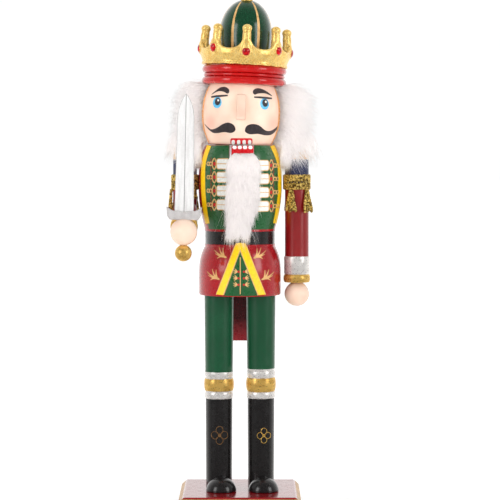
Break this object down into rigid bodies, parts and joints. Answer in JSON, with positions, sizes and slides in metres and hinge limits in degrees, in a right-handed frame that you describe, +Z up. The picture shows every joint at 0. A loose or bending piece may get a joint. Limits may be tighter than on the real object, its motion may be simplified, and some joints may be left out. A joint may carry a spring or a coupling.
{
  "type": "nutcracker figure",
  "caption": "Painted wooden nutcracker king with a gold crown, white fur hair and beard, a jaw worked by a back lever, and a sword in one hand, standing on a square base.",
  "frame": {"origin": "centre of the square base's underside", "axes": "+Z up, the figure faces -Y and its left arm is on +X"},
  "size_m": [0.0835, 0.0835, 0.305],
  "materials": {
    "red_lacquer": "glossy dark red lacquer on turned wood",
    "green_lacquer": "glossy dark green lacquer on turned wood, black boots, gold and silver trim",
    "skin_paint": "satin flesh-coloured paint on turned wood",
    "black_lacquer": "glossy black lacquer on wood",
    "silver_paint": "silver glitter paint on wood",
    "gold_paint": "metallic gold paint on wood",
    "bare_wood": "unpainted beech",
    "gold_cast": "cast resin with a gold finish",
    "ruby": "clear red faceted stone",
    "white_fur": "long white plush fur",
    "gold_braid": "woven metallic gold thread",
    "steel": "plain steel"
  },
  "bodies": {
    "figure": {"base": "red_lacquer", "leg_screws": "steel", "left_leg": "green_lacquer", "right_leg": "green_lacquer", "left_toe": "black_lacquer", "right_toe": "black_lacquer", "leg_dowels": "bare_wood", "coat": "red_lacquer", "neck_dowels": "bare_wood", "pivot_pin": "steel", "head": "skin_paint", "nose": "skin_paint", "hair": "white_fur", "hat_band": "red_lacquer", "hat_dowel": "bare_wood", "dome": "green_lacquer", "finial": "gold_paint", "crown": "gold_cast", "jewels": "ruby"},
    "jaw": {"jaw_lever": "red_lacquer"},
    "beard": {"beard": "white_fur"},
    "left_arm": {"left_arm": "red_lacquer", "left_hand": "skin_paint", "left_peg": "bare_wood", "left_braid": "gold_braid", "left_tassels": "gold_braid"},
    "right_arm": {"right_upper_arm": "red_lacquer", "right_forearm": "red_lacquer", "right_hand": "skin_paint", "right_peg": "bare_wood", "right_braid": "gold_braid", "right_tassels": "gold_braid", "sword_blade": "silver_paint", "sword_guard": "silver_paint", "sword_grip": "bare_wood", "sword_pommel": "gold_paint"}
  },
  "joints": [
    {"name": "jaw_hinge", "type": "hinge", "parent": "figure", "child": "jaw", "pos_m": [0, 0.003, 0.19], "axis": [1, 0, 0], "range_deg": [0, 16]},
    {"name": "beard_hang", "type": "hinge", "parent": "jaw", "child": "beard", "pos_m": [0, -0.0229, 0.2048], "axis": [1, 0, 0], "range_deg": [-16, 0]},
    {"name": "left_shoulder", "type": "hinge", "parent": "figure", "child": "left_arm", "pos_m": [0.032, 0, 0.2007], "axis": [1, 0, 0], "range_deg": [-90, 30]},
    {"name": "right_shoulder", "type": "hinge", "parent": "figure", "child": "right_arm", "pos_m": [-0.031, 0, 0.2007], "axis": [1, 0, 0], "range_deg": [-18, 25]}
  ],
  "couplings": [
    {"joint": "beard_hang", "follows": "jaw_hinge", "ratio": -1}
  ]
}
